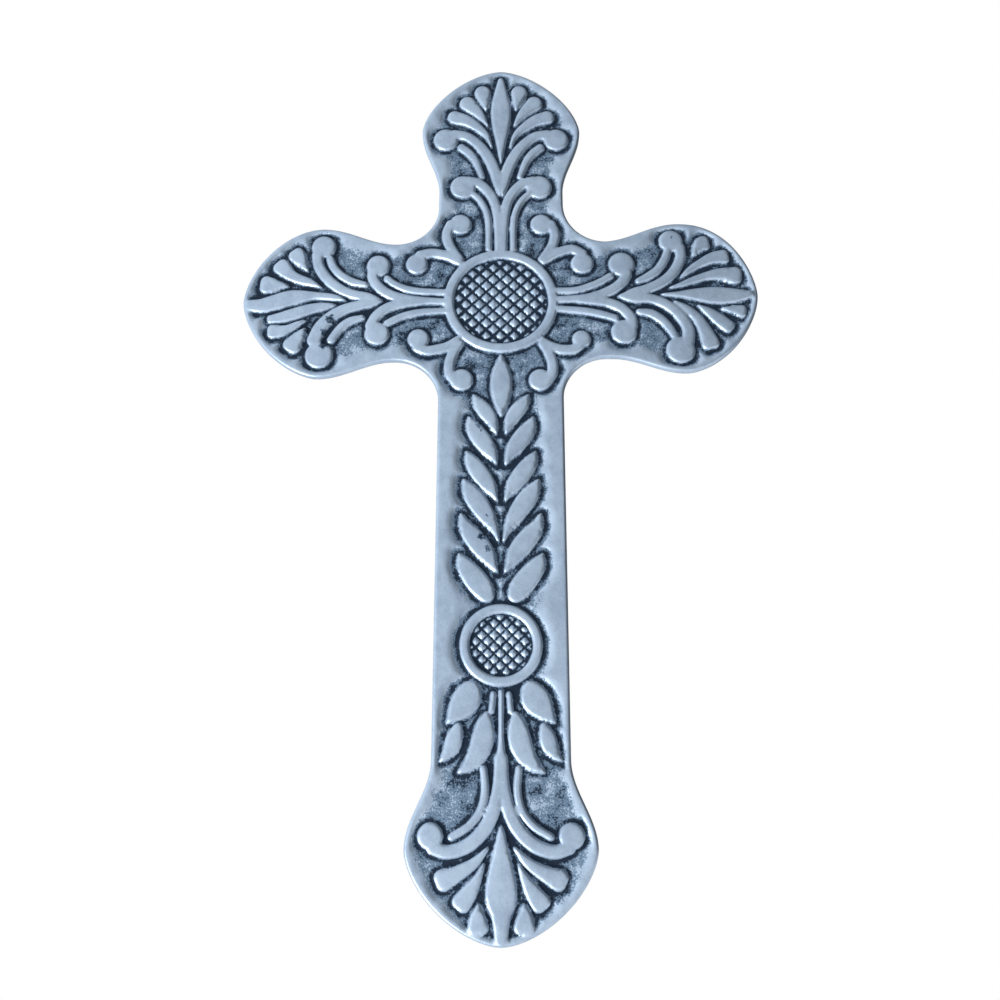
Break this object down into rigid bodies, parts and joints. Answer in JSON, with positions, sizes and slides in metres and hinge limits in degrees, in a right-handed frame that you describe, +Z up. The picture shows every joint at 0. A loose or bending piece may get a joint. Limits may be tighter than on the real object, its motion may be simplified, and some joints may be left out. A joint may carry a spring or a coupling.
{
  "type": "cast metal wall cross",
  "caption": "Flat-backed cast metal cross with rounded, pointed arm ends and scroll, petal and leaf relief, made to hang on a wall.",
  "frame": {"origin": "centre of the mouth of the blind hanging hole, in the flat back of the top arm", "axes": "+Z up along the shaft, +X to the right seen from the front, the relief faces -Y and the flat back faces +Y"},
  "size_m": [0.2619, 0.0042, 0.445],
  "materials": {
    "cast_metal": "satin cast alloy, bright on the relief and the margins, dark antiquing left in the recesses"
  },
  "bodies": {
    "root": {"cross": "cast_metal"}
  },
  "joints": []
}
